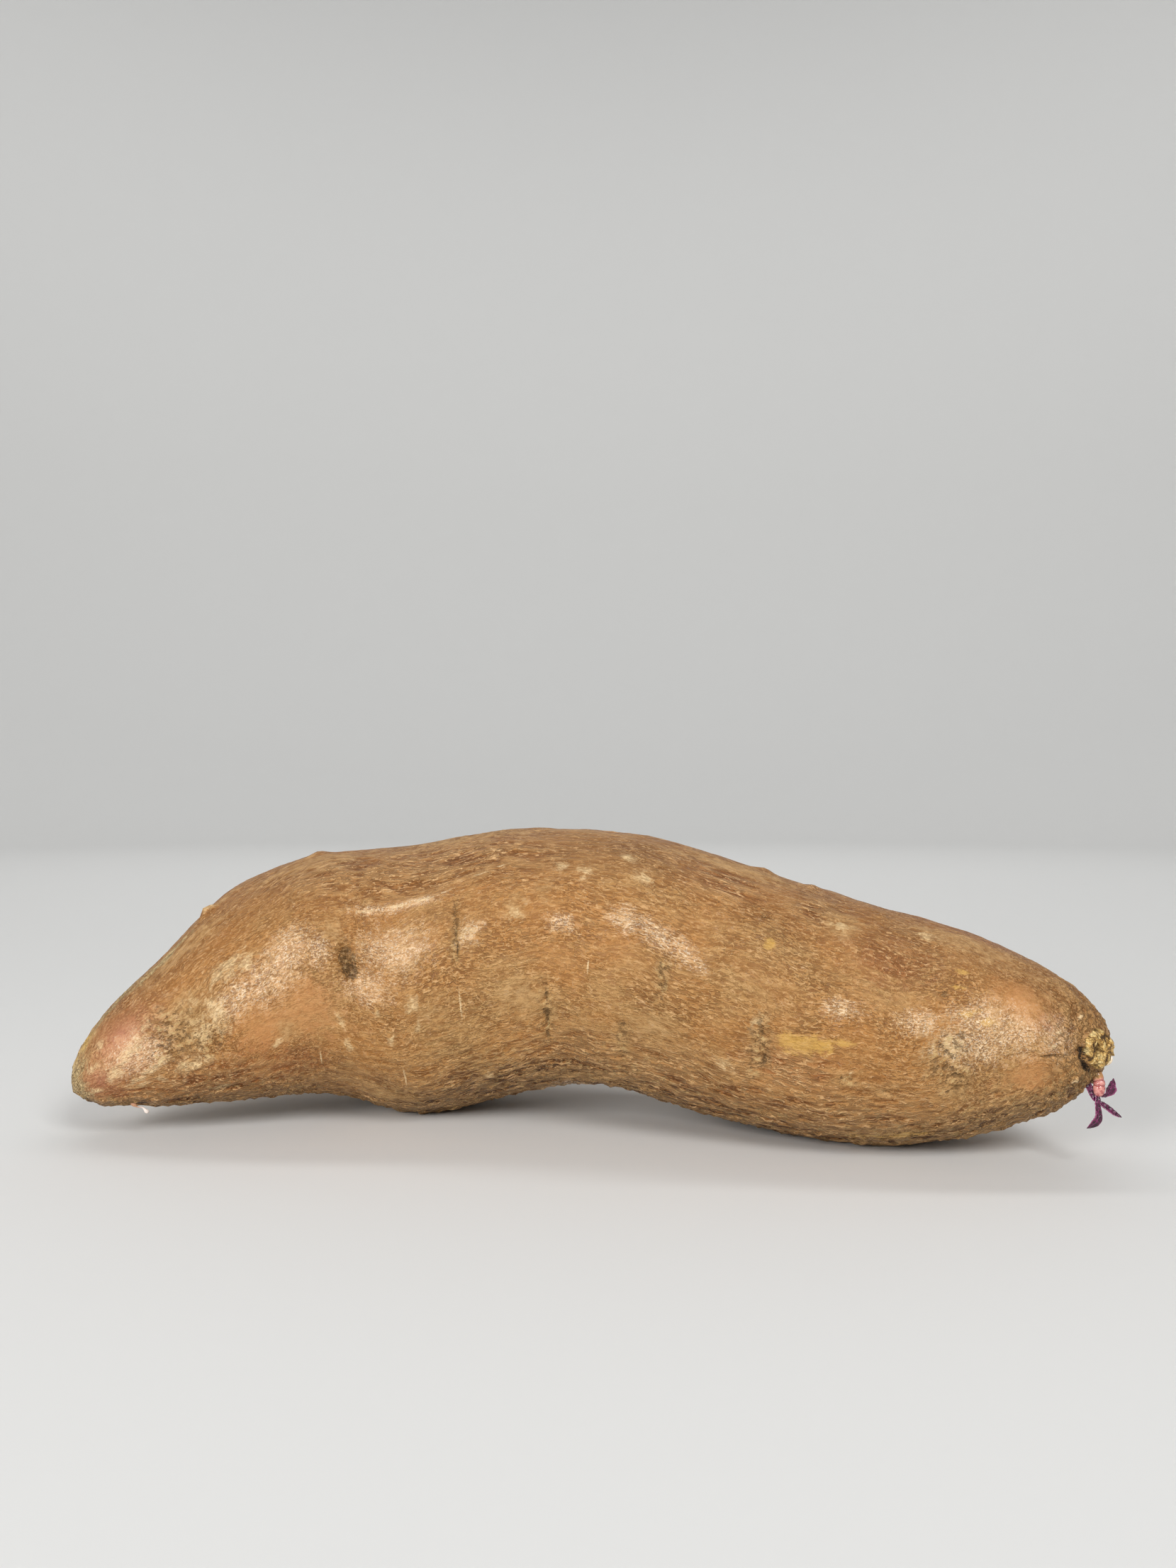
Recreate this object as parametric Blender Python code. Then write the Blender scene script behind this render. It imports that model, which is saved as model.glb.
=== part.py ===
"""Sweet potato lying on its side, with one young sprout at its stem end.

The storage root grew as one body, so it is one closed solid: rings set square to a
curved heart line, round at the tapered tip, full in the two bellies that it lies on,
and closed at the stem end by the corky stump where the vine was cut.  The sprout is a
bud with four small leaves below that stump.  A second bud has just broken the skin
beside the stump, and one hair-like rootlet hangs under the tip.  Neighbouring pieces
keep a clear gap of 0.3 to 0.7 mm.

+X runs along the root to its stem end, -Y is the side with the stump, +Z is up.
The whole stands on z = 0 with the middle of its box on the Z axis.
"""

import bpy
import numpy as np
from mathutils import Vector

MM = 0.001

# Driving dimensions, in millimetres ------------------------------------------------

TUBER_RINGS = 72
TUBER_SIDES = 40
TUBER_REACH = 7           # rings to each side that a ring's tilt is read over
SEAT_DEPTH = 1.0          # lowest skin is pressed flat up to this height
STUMP_RADIUS = 4.5        # corky scar of the cut vine
STUMP_HEIGHT = 1.1
STUMP_WALL = 0.8
LEAF_RINGS = 12
LEAF_SIDES = 10
BUD_RINGS = 9
BUD_SIDES = 12
ROOTLET_RINGS = 11
ROOTLET_SIDES = 8

# Heart line of the root: x, y, z of a ring's middle, its half height and half depth.
TUBER_STATIONS = (
    (-108.8, -13.0, 11.0, 0.0, 0.0),     # tip
    (-106.3, -11.0, 13.0, 6.0, 7.0),
    (-97.0, -6.5, 17.7, 12.7, 14.0),
    (-86.0, -1.5, 22.5, 18.3, 19.5),
    (-74.0, 4.5, 29.1, 23.8, 25.5),
    (-59.0, 10.5, 32.2, 28.0, 29.5),
    (-40.5, 14.0, 30.9, 31.0, 31.5),     # first belly, on the ground
    (-18.5, 11.5, 35.0, 30.4, 31.0),
    (2.0, 6.0, 37.0, 28.5, 29.5),        # arch
    (21.5, 0.5, 33.9, 27.9, 29.5),
    (41.5, -5.0, 28.4, 26.8, 28.5),
    (60.0, -11.0, 25.0, 25.1, 26.5),     # second belly, on the ground
    (76.5, -17.5, 24.2, 21.7, 22.5),
    (87.5, -23.5, 24.7, 16.9, 17.2),
    (94.2, -28.6, 24.9, 12.3, 12.6),
    (97.9, -33.2, 24.9, 7.0, 7.2),
    (98.7, -36.2, 24.9, 0.0, 0.0),       # middle of the stump
)

# Leaves: x, y, z of the midrib, half width, half thickness, from the root to the tip.
# "facing" is the way that a leaf's face looks.
LONG_LEAF = dict(
    facing=(0.15, -1.0, 0.1),
    fold=0.35,
    stations=(
        (99.4, -33.1, 14.55, 0.18, 0.16),
        (99.35, -33.5, 13.4, 0.50, 0.22),
        (99.2, -33.7, 11.8, 0.80, 0.22),
        (98.5, -33.7, 10.2, 0.62, 0.18),
        (97.0, -33.4, 8.9, 0.03, 0.03),
    ),
)
SIDE_LEAF = dict(
    facing=(0.35, -1.0, 0.35),
    fold=0.35,
    stations=(
        (100.6, -33.5, 13.5, 0.22, 0.16),
        (101.3, -33.9, 12.85, 0.62, 0.20),
        (102.2, -34.2, 12.2, 0.48, 0.16),
        (103.4, -34.3, 11.5, 0.03, 0.03),
    ),
)
FOLDED_LEAF = dict(
    facing=(0.2, -1.0, -0.2),
    fold=0.5,
    stations=(
        (101.1, -32.6, 15.4, 0.18, 0.16),
        (101.6, -32.8, 15.95, 0.72, 0.20),
        (101.9, -32.9, 17.0, 0.66, 0.18),
        (102.5, -33.0, 18.7, 0.03, 0.03),
    ),
)
BACK_LEAF = dict(
    facing=(-0.3, -1.0, 0.0),
    fold=0.3,
    stations=(
        (98.5, -32.5, 14.3, 0.16, 0.14),
        (97.9, -32.5, 15.1, 0.36, 0.18),
        (97.3, -32.8, 15.9, 0.32, 0.16),
        (96.8, -33.2, 16.6, 0.03, 0.03),
    ),
)

# Buds: the two ends of the axis, and the widest half width.
SPROUT_BUD = dict(start=(99.75, -32.5, 17.75), end=(99.4, -33.0, 14.9), half_width=1.05)
SECOND_BUD = dict(start=(102.3, -35.2, 22.7), end=(101.9, -35.6, 21.0), half_width=0.40)

# Rootlet: x, y, z and the half width of the thread, from the skin to its loose end.
ROOTLET_STATIONS = (
    (-97.3, -12.3, 7.5, 0.03),
    (-96.7, -12.6, 6.9, 0.22),
    (-95.5, -13.0, 6.3, 0.20),
    (-94.4, -13.2, 6.1, 0.30),
    (-93.6, -13.1, 6.2, 0.03),
)

# Colours ---------------------------------------------------------------------------

SKIN_FINISH = dict(colour=(0.47, 0.25, 0.12), roughness=0.55)
LEAF_FINISH = dict(colour=(0.16, 0.01, 0.09), roughness=0.35)
BUD_FINISH = dict(colour=(0.66, 0.22, 0.20), roughness=0.45)
PALE_BUD_FINISH = dict(colour=(0.80, 0.70, 0.55), roughness=0.45)
ROOTLET_FINISH = dict(colour=(0.75, 0.66, 0.50), roughness=0.60)


def unit(vectors):
    """Rows scaled to length one."""
    return vectors / np.linalg.norm(vectors, axis=-1, keepdims=True)


def smooth_rows(rows, count, level_ends):
    """Read count rows from the cubic spline through the given rows.

    The spline's second derivative runs straight from knot to knot.  A column in
    level_ends arrives at both ends with no slope, and the others with no bend.
    """
    rows = np.array(rows, dtype=float)
    last = len(rows) - 1
    places = np.linspace(0.0, last, count)
    knot = np.minimum(places.astype(int), last - 1)
    ahead = (places - knot)[:, None]
    behind = 1.0 - ahead
    bends = np.zeros_like(rows)
    for column in range(rows.shape[1]):
        heights = rows[:, column]
        system = np.eye(last + 1)
        target = np.zeros(last + 1)
        for i in range(1, last):
            system[i, i - 1:i + 2] = (1.0, 4.0, 1.0)
            target[i] = 6.0 * (heights[i - 1] - 2.0 * heights[i] + heights[i + 1])
        if column in level_ends:
            system[0, :2] = (2.0, 1.0)
            target[0] = 6.0 * (heights[1] - heights[0])
            system[last, last - 1:] = (1.0, 2.0)
            target[last] = 6.0 * (heights[last - 1] - heights[last])
        bends[:, column] = np.linalg.solve(system, target)
    curve = bends[knot] * behind**3 + bends[knot + 1] * ahead**3
    curve = curve / 6.0
    curve += (rows[knot] - bends[knot] / 6.0) * behind
    curve += (rows[knot + 1] - bends[knot + 1] / 6.0) * ahead
    return curve


def headings(centres, reach):
    """The way that a line of points runs, read over reach points to each side."""
    places = np.arange(len(centres))
    ahead = np.minimum(places + reach, len(centres) - 1)
    behind = np.maximum(places - reach, 0)
    return unit(centres[ahead] - centres[behind])


def rings_along(centres, half_across, half_deep, facing, sides, reach=1, fold=0.0):
    """Rings square to a line: across * cos + deep * sin, about each centre.

    across is square to the line and to facing.  fold lifts both edges of a ring
    towards facing by that share of its half width, which gives a leaf its keel.
    """
    along = headings(centres, reach)
    across = unit(np.cross(along, facing))
    deep = np.cross(across, along)
    angles = np.linspace(0.0, 2.0 * np.pi, sides, endpoint=False)
    level = half_across[:, None] * np.cos(angles)
    rise = half_deep[:, None] * np.sin(angles) + fold * np.abs(level)
    return centres[:, None] + across[:, None] * level[..., None] + deep[:, None] * rise[..., None]


def tuber_rings():
    """The root: rings on the heart line, the raised stump, and the flat seats."""
    rows = smooth_rows(TUBER_STATIONS, TUBER_RINGS, level_ends=(0, 1, 2))
    centres = rows[:, :3]
    upright = (0.0, 0.0, 1.0)
    rings = rings_along(centres, rows[:, 4], rows[:, 3], upright, TUBER_SIDES, TUBER_REACH)
    outward = headings(centres, TUBER_REACH)[-1]
    from_scar = rings - centres[-1]
    height = from_scar @ outward
    spread = np.linalg.norm(from_scar - height[..., None] * outward, axis=-1)
    near_stem = height > -2.0 * STUMP_RADIUS
    rise = np.clip((STUMP_RADIUS - spread) / STUMP_WALL, 0.0, 1.0)
    rise = rise * rise * (3.0 - 2.0 * rise) * near_stem
    rings = rings + STUMP_HEIGHT * rise[..., None] * outward
    rings[..., 2] = np.maximum(rings[..., 2], SEAT_DEPTH)
    return rings


def leaf_rings(leaf):
    """A leaf blade: flattened rings along its midrib, folded up along both sides."""
    rows = smooth_rows(leaf["stations"], LEAF_RINGS, level_ends=())
    widths = np.maximum(rows[:, 3], 0.02)
    depths = np.maximum(rows[:, 4], 0.02)
    return rings_along(rows[:, :3], widths, depths, leaf["facing"], LEAF_SIDES, fold=leaf["fold"])


def bud_rings(bud):
    """A bud: round rings from end to end, widest at 45 % of its length."""
    share = 0.5 - 0.5 * np.cos(np.linspace(0.0, np.pi, BUD_RINGS))
    start, end = np.array(bud["start"]), np.array(bud["end"])
    centres = start + (end - start) * share[:, None]
    widest = 0.45
    swell = np.where(share < widest, (widest - share) / widest, (share - widest) / (1.0 - widest))
    radii = bud["half_width"] * np.sqrt(np.maximum(1.0 - swell**2, 0.0))
    return rings_along(centres, radii, radii, (0.0, -1.0, 0.0), BUD_SIDES)


def rootlet_rings():
    """The rootlet: a thin round thread."""
    rows = smooth_rows(ROOTLET_STATIONS, ROOTLET_RINGS, level_ends=())
    radii = np.maximum(rows[:, 3], 0.02)
    return rings_along(rows[:, :3], radii, radii, (0.0, -1.0, 0.0), ROOTLET_SIDES)


def new_material(name, colour, roughness):
    """A plain finish for one kind of piece."""
    material = bpy.data.materials.new(name)
    material.use_nodes = True
    shader = material.node_tree.nodes["Principled BSDF"]
    shader.inputs["Base Color"].default_value = (*colour, 1.0)
    shader.inputs["Roughness"].default_value = roughness
    shader.inputs["Metallic"].default_value = 0.0
    material.diffuse_color = (*colour, 1.0)
    return material


def solid_from_rings(name, rings, finish, holder):
    """Skin the rings with quads, and close both ends on the middle of the end ring."""
    count, sides, _ = rings.shape
    inner = rings[1:-1].reshape(-1, 3)
    tip, end = rings[0].mean(axis=0), rings[-1].mean(axis=0)
    points = np.vstack([inner, tip, end]) * MM
    tip_index, end_index = len(inner), len(inner) + 1
    faces = []
    for j in range(sides):
        k = (j + 1) % sides
        faces.append((tip_index, j, k))
        for i in range(count - 3):
            here, ahead = i * sides, (i + 1) * sides
            faces.append((here + j, ahead + j, ahead + k, here + k))
        last = (count - 3) * sides
        faces.append((last + j, end_index, last + k))
    mesh = bpy.data.meshes.new(name)
    mesh.from_pydata(points.tolist(), [], faces)
    mesh.update()
    mesh.shade_smooth()
    mesh.set_sharp_from_angle(angle=np.radians(50.0))
    mesh.materials.append(new_material(name, **finish))
    piece = bpy.data.objects.new(name, mesh)
    piece.parent = holder
    bpy.context.scene.collection.objects.link(piece)
    return piece


def stand_on_origin(holder, pieces):
    """Move the holder so that the whole stands on z = 0 with its box centred on Z."""
    corners = np.array([vertex.co[:] for piece in pieces for vertex in piece.data.vertices])
    low, high = corners.min(axis=0), corners.max(axis=0)
    middle = (low + high) / 2.0
    holder.location = Vector((-middle[0], -middle[1], -low[2]))


def main():
    for old in list(bpy.data.objects):
        bpy.data.objects.remove(old, do_unlink=True)
    holder = bpy.data.objects.new("sweet_potato", None)
    bpy.context.scene.collection.objects.link(holder)
    shapes = (
        ("tuber", tuber_rings(), SKIN_FINISH),
        ("sprout_bud", bud_rings(SPROUT_BUD), BUD_FINISH),
        ("sprout_leaf_long", leaf_rings(LONG_LEAF), LEAF_FINISH),
        ("sprout_leaf_side", leaf_rings(SIDE_LEAF), LEAF_FINISH),
        ("sprout_leaf_folded", leaf_rings(FOLDED_LEAF), LEAF_FINISH),
        ("sprout_leaf_back", leaf_rings(BACK_LEAF), LEAF_FINISH),
        ("second_bud", bud_rings(SECOND_BUD), PALE_BUD_FINISH),
        ("rootlet", rootlet_rings(), ROOTLET_FINISH),
    )
    pieces = [solid_from_rings(name, rings, finish, holder) for name, rings, finish in shapes]
    stand_on_origin(holder, pieces)
    bpy.context.view_layer.update()


main()
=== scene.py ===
"""Finish of a sweet potato that lies on its side.

The object is put together in this order: the root with its wrinkled cork skin and its
corky stump, the sprout with its bud and four leaves, the second bud, and the rootlet.
The pale studio and the camera come last.  Drawings are in millimetres, in the frame of
the root's own drawing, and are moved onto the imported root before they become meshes.
"""

import bpy
import numpy as np
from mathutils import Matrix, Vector


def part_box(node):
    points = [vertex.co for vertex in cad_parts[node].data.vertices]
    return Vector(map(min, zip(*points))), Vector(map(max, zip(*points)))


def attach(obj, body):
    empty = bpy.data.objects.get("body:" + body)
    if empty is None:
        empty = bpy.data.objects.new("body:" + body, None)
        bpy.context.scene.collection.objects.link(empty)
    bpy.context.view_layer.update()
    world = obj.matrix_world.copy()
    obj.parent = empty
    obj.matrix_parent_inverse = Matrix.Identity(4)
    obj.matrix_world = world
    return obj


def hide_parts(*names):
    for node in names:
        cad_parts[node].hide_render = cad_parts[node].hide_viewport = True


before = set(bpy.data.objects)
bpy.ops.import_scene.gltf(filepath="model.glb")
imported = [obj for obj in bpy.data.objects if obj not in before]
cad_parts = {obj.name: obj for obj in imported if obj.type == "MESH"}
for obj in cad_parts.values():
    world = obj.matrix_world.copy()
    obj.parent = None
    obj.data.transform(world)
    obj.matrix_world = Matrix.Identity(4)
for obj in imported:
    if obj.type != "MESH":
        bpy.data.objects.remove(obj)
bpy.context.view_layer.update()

# The root ----------------------------------------------------------------------------
# A storage root grows as one body: tapered at one end, full in two bellies, closed at
# the other end by the corky stump of the cut vine.  Its skin is thin cork, satin, drawn
# into fine wrinkles along the length, with scurf, pits and slits where rootlets grew.

MM = 0.001

# Heart line of the root: x, y, z of a ring's middle, its half height and half depth.
ROOT_STATIONS = np.array((
    (-108.8, -13.0, 11.0, 0.0, 0.0),
    (-106.3, -11.0, 13.0, 6.0, 7.0),
    (-97.0, -6.5, 17.7, 12.7, 14.0),
    (-86.0, -1.5, 22.5, 18.3, 19.5),
    (-74.0, 4.5, 29.1, 23.8, 25.5),
    (-59.0, 10.5, 32.2, 28.0, 29.5),
    (-40.5, 14.0, 30.9, 31.0, 31.5),
    (-18.5, 11.5, 35.0, 30.4, 31.0),
    (2.0, 6.0, 37.0, 28.5, 29.5),
    (21.5, 0.5, 33.9, 27.9, 29.5),
    (41.5, -5.0, 28.4, 26.8, 28.5),
    (60.0, -11.0, 25.0, 25.1, 26.5),
    (76.5, -17.5, 24.2, 21.7, 22.5),
    (87.5, -23.5, 24.7, 16.9, 17.2),
    (94.2, -28.6, 24.9, 12.3, 12.6),
    (97.9, -33.2, 24.9, 7.0, 7.2),
    (98.7, -36.2, 24.9, 0.0, 0.0),
))
LAST_STATION = len(ROOT_STATIONS) - 1
CAD_RINGS = 72
CAD_SIDES = 40
TILT_REACH = 7 * LAST_STATION / (CAD_RINGS - 1)   # stations to each side that set a ring's tilt
SEAT_DEPTH = 1.0   # the height at which the two flat seats cut the drawing
STUMP_RADIUS = 4.5
STUMP_HEIGHT = 1.1
STUMP_WALL = 0.8

SKIN_RINGS = 276
SKIN_SIDES = 360

# Lumps and hollows: millimetres from the tip, degrees up from the front, half length
# along the root, half width round it, a tilt in degrees, and a height.
SWELLINGS = (
    (73.0, 36.0, 7.0, 2.4, 0, 0.7), (83.0, 36.8, 7.0, 2.2, 0, 0.9), (92.5, 38.0, 5.5, 1.8, 4, 0.5),
    (102.0, 44.5, 7.0, 2.4, 14, 0.3), (82.0, 27.0, 12.0, 3.0, 0, -0.5), (48.0, 20.0, 12.0, 9.0, -20, 1.0),
    (57.0, 22.0, 5.0, 4.5, 0, 0.5), (67.8, 33.0, 1.6, 2.2, 0, 0.5), (99.8, 20.0, 3.2, 2.8, 0, 0.9),
    (95.8, 22.0, 1.6, 7.0, 0, -0.3), (118.5, -18.0, 1.9, 7.5, 0, -0.4), (137.0, -26.0, 2.0, 7.0, 0, -0.3),
    (144.0, 8.0, 1.8, 4.5, 0, -0.3), (165.8, -9.0, 2.8, 8.0, 0, -0.5), (228.3, -50.0, 0.8, 0.7, 0, 0.6),
    (117.2, 36.0, 3.0, 3.0, 0, 0.4), (136.0, 27.0, 7.0, 4.5, -20, 0.7), (147.0, 20.0, 7.0, 4.0, -25, 0.7),
    (131.0, 4.0, 9.0, 6.0, 0, -0.5), (211.0, 12.0, 12.0, 8.0, 0, 0.7), (203.5, -5.0, 5.0, 5.0, 0, -0.6),
    (60.3, 88.0, 2.2, 2.2, 0, 0.9), (110.4, 90.0, 2.0, 2.2, 0, 1.1), (156.4, 90.0, 2.0, 1.8, 0, 0.8),
    (167.5, 88.0, 2.0, 1.8, 0, 0.7), (184.6, 73.0, 1.2, 1.0, 0, 0.5), (151.4, 51.0, 1.1, 1.0, 0, 0.5),
    (37.5, 90.0, 1.4, 1.4, 0, 1.5), (38.6, 57.0, 1.2, 1.1, 0, 0.5), (25.0, 14.0, 6.0, 8.0, 0, -0.5),
    (178.0, -30.0, 14.0, 6.0, 0, 0.5), (64.0, -20.0, 12.0, 7.0, 0, 0.5), (226.0, 14.0, 4.0, 3.5, 0, 0.4),
)

# Marks on the skin have the same five places and sizes, without a height.  First the grey
# scurf, the pale crust, and the dark floors of slits and holes.
GREY_MARKS = (
    (227.0, -24, 3.6, 2.6, 0), (113.4, -9, 8.0, 6.0, 0), (144.5, -15, 9.0, 4.0, 5),
    (118.6, -18, 3.0, 7.5, 0),
    (137.0, -26, 3.0, 7.0, 0), (166.0, -9, 4.0, 8.0, 0), (87.0, -7, 2.6, 1.4, 20),
    (44.3, -12, 3.4, 3.0, 0), (60.8, 27, 3.6, 3.2, 30), (96.0, 21, 2.2, 7.0, 0),
    (110.9, 28, 3.2, 3.4, 0), (117.0, 36, 2.6, 3.0, 0), (34.7, 70, 6.0, 4.0, 0),
    (60.0, 77, 16.0, 7.0, 0), (95.0, 80, 18.0, 7.0, 0), (28.0, 76, 10.0, 4.0, 0), (176.6, 57, 5.0, 4.0, 0),
    (183.7, -15, 3.2, 1.8, 0), (191.5, -19, 2.6, 1.6, 0), (201.5, -2, 6.0, 7.0, 0),
    (205.5, -16, 4.0, 6.0, 0), (193.0, -50, 14.0, 4.0, 0), (24.7, 18, 6.0, 8.0, 0),
    (143.6, 8, 1.8, 5.0, 0), (205.0, 72, 16.0, 5.0, 0), (4.0, 78, 6.0, 5.0, 0),
    (152.0, 78, 18.0, 5.0, 0), (72.0, -50, 14.0, 5.0, 0), (128.0, -55, 16.0, 4.0, 0),
    (42.0, 92, 9.0, 2.4, 0),
)
PALE_MARKS = (
    (36.5, 34, 5.0, 3.4, 0), (40.0, 30, 3.0, 2.4, 0),
    (31.5, 14, 2.8, 6.0, 0), (27.0, 9, 3.0, 4.0, 0), (23.2, -11, 5.0, 1.8, 0),
    (26.9, -37, 3.0, 1.4, 0), (41.4, -17, 2.4, 1.0, 30), (60.3, -11, 1.6, 2.4, 30),
    (61.9, -22, 1.6, 2.0, 0), (83.0, -3, 2.6, 2.4, 30), (84.0, -11, 1.4, 2.6, 0),
    (75.8, -16, 1.8, 1.6, 0), (72.6, -5, 1.2, 1.2, 0), (100.8, -44, 1.8, 1.2, 0),
    (119.1, 50, 2.4, 2.2, 0), (124.3, 48, 2.4, 2.6, 0), (131.7, 60, 2.6, 1.8, 0),
    (135.9, 50, 3.0, 2.4, 0), (99.8, 20, 2.6, 1.8, 0), (110.9, 25, 2.0, 2.0, 0),
    (158.9, -20, 3.0, 1.6, 0), (164.2, 2, 1.8, 1.8, 0), (226.7, 22, 0.9, 0.8, 0),
    (226.3, 6, 0.9, 0.7, 0), (228.7, -53, 0.8, 0.7, 0), (184.6, -11, 1.0, 0.9, 0),
    (13.6, 21, 3.6, 2.2, 20), (8.5, 6, 3.0, 2.0, 0),
    (5.6, 30, 2.0, 1.4, 0), (10.5, 12, 3.4, 1.2, 25), (15.5, -5, 3.0, 1.2, 20),
    (16.5, -16, 2.4, 1.1, -25), (11.5, -12, 2.6, 1.0, 15), (19.0, 2, 2.0, 1.4, 0),
    (4.0, -12, 2.0, 1.0, 0), (18.0, 33, 2.4, 1.2, 10),
    (27.8, 29, 1.0, 2.6, 0), (16.2, -14, 1.8, 1.3, 0), (12.1, -18, 2.4, 0.9, 20),
    (8.5, 49, 1.8, 1.6, 0), (176.6, 56, 2.6, 1.6, 0),
    (196.0, 66, 2.6, 1.4, 0), (37.5, 89, 1.4, 1.4, 0), (205.0, 4, 3.6, 2.0, 0),
)
DARK_MARKS = (
    (95.3, 31, 0.35, 2.4, 3),
    (95.8, 22, 0.45, 3.0, 4), (96.4, 14, 0.4, 2.0, 0), (118.7, -9, 0.35, 2.6, 0),
    (118.4, -19, 0.6, 3.0, 0), (118.0, -27, 0.5, 1.6, 0), (143.2, 11, 0.45, 1.9, 0),
    (144.6, 5, 0.6, 1.7, 0), (136.8, -17, 0.6, 1.0, 0), (202.1, 32, 0.9, 0.9, 0),
    (160.8, 49, 1.0, 0.4, 0), (203.4, 2, 0.6, 0.6, 0), (202.0, 5, 0.9, 0.5, 0),
    (205.1, -11, 0.9, 0.5, 0), (47.6, 31, 0.5, 0.5, 0), (191.5, -19, 0.7, 0.5, 0),
    (226.0, -5, 2.4, 0.35, 0), (165.6, -3, 0.4, 1.8, 0), (167.0, -14, 0.4, 1.6, 0),
)
# Scurf eaten into holes, reddish brown skin, and the crust over the tip's top edge.
SCURFY_MARKS = (
    (21.5, 18, 5.4, 5.6, 0), (20.0, 9, 3.4, 3.0, 0), (27.5, 3, 3.0, 4.0, 0),
    (65.2, 14, 2.8, 3.6, 14), (203.6, -3, 4.6, 6.5, 0), (205.5, -13, 3.0, 4.0, 0),
    (165.8, -9, 2.2, 7.0, 0), (118.4, -17, 1.6, 7.5, 0), (95.8, 21, 1.1, 7.0, 0),
    (144.0, 8, 1.4, 4.5, 0), (137.0, -26, 1.6, 5.5, 0), (193.0, -52, 12.0, 2.6, 0),
    (183.7, -15, 2.2, 1.2, 0),
)
RUSSET_MARKS = ((26.0, -34, 16.0, 6.0, 0), (44.0, -33, 10.0, 4.0, 0), (9.0, -20, 6.0, 4.0, 0),
                (172.0, -14, 8.0, 3.6, 0), (151.0, 62, 5.0, 4.0, 0), (190.0, 45, 9.0, 5.0, 0))
RIM_MARKS = ((2.5, 92, 7.0, 2.6, 0), (1.6, 60, 3.0, 3.2, 0), (0.8, 15, 1.6, 4.0, 0),
             (0.9, -30, 1.8, 3.0, 0), (14.0, 96, 8.0, 2.2, 0), (26.0, 84, 6.0, 1.6, 0),
             (6.0, 130, 7.0, 4.0, 0))
# Yellow stains, pink skin, smooth skin, and glossy patches with painted sheen.
YELLOW_MARKS = (
    (163.2, 36, 1.2, 1.8, 0), (172.5, -3, 4.2, 2.6, 0), (176.5, -1, 4.6, 2.2, 8),
    (182.0, 2, 3.6, 0.9, 8), (205.4, 47, 1.6, 0.8, 0), (204.4, 37, 1.6, 0.7, 0),
    (207.9, 23, 2.4, 0.9, 15), (211.8, 19, 2.0, 0.9, 0), (193.0, -51, 9.0, 1.4, 0),
    (6.0, 88, 3.0, 2.0, 0),
)
ROSY_MARKS = ((13.0, 42, 9.0, 9.0, 0), (13.0, 20, 7.0, 6.0, 0), (5.5, 0, 5.0, 6.0, 0),
              (226.0, 24, 3.0, 3.0, 0))
CALM_MARKS = ((50.0, -3, 12.0, 8.0, 0), (40.0, -8, 8.0, 7.0, 0), (219.0, 38, 7.0, 6.0, 0),
              (12.0, 40, 6.0, 7.0, 0), (222.0, -22, 8.0, 5.0, 0))
GLOSSY_PAINTED_SHEEN_MARKS = (
    (50.2, 28, 4.5, 2.6, 10), (56.4, 20, 2.8, 2.8, 0), (48.0, 19, 4.0, 4.0, 0), (43.0, 15, 5.0, 4.0, -10),
    (37.0, 16, 5.0, 3.0, 0), (79.0, 19, 8.0, 4.6, 0),
    (76.0, 36.4, 7.0, 1.0, 0), (85.0, 37.4, 6.0, 1.0, 0), (99.8, 20, 3.0, 2.4, 0),
    (121.5, 22, 2.4, 1.6, -10), (134.6, 27, 3.2, 2.2, -20), (141.4, 23.5, 4.0, 2.0, -30),
    (147.4, 20.5, 4.0, 1.6, -30), (181.0, 16, 3.0, 1.8, 0), (197.0, 15, 4.0, 2.2, 0),
    (208.2, 6, 7.0, 3.6, 0), (217.0, 13, 6.5, 3.6, 0), (212.0, 16, 8.0, 4.4, 0),
    (226.0, 13, 3.0, 3.4, 0), (14.0, 15, 5.0, 4.0, 0), (70.0, 5, 6.0, 3.0, 0),
)
# Deep brown folds, and pale threads and warts of cork; the first six threads, along the ridge's crest, are
# a painted highlight.
BROWN_MARKS = ((88.0, 57, 26.0, 9.0, 0), (64.0, 62, 10.0, 9.0, 0), (24.0, -34, 14.0, 7.0, 0),
               (172.0, -15, 10.0, 5.0, 0), (151.0, 62, 7.0, 6.0, 0), (172.0, 60, 8.0, 5.0, 0),
               (150.0, -34, 26.0, 6.0, 0), (126.0, -34, 12.0, 6.0, 0), (100.0, 60, 16.0, 5.0, 0),
               (182.0, -36, 22.0, 9.0, 0))
THREAD_AND_RIDGE_HIGHLIGHT_MARKS = ((71.5, 35.6, 5.0, 0.6, 0), (80.0, 36.9, 5.0, 0.7, 0), (87.0, 37.9, 4.4, 0.7, 2),
                (93.5, 39.4, 3.0, 0.45, 8), (101.5, 45.3, 4.0, 0.35, 14), (106.5, 49.4, 3.0, 0.35, 14),
                (228.3, -50, 0.9, 0.8, 0), (226.7, 22, 0.6, 0.5, 0), (226.3, 6, 0.5, 0.5, 0),
                (184.6, -11, 0.5, 0.45, 0), (229.0, 62, 0.4, 1.2, 0), (96.5, -7, 0.45, 5.4, 0),
                (52.5, -31, 0.45, 3.4, 0), (128.0, 5, 0.4, 2.4, 0), (78.0, -34, 0.45, 5.0, 0))
PIT = (65.2, 14.0, 3.2, 4.0, 14)
# Where slits, threads and the pit cross the root: millimetres from the tip.
CROSSING_PLACES = (52.5, 64.8, 78.0, 95.9, 118.4, 128.0, 143.8, 165.7)


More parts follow.
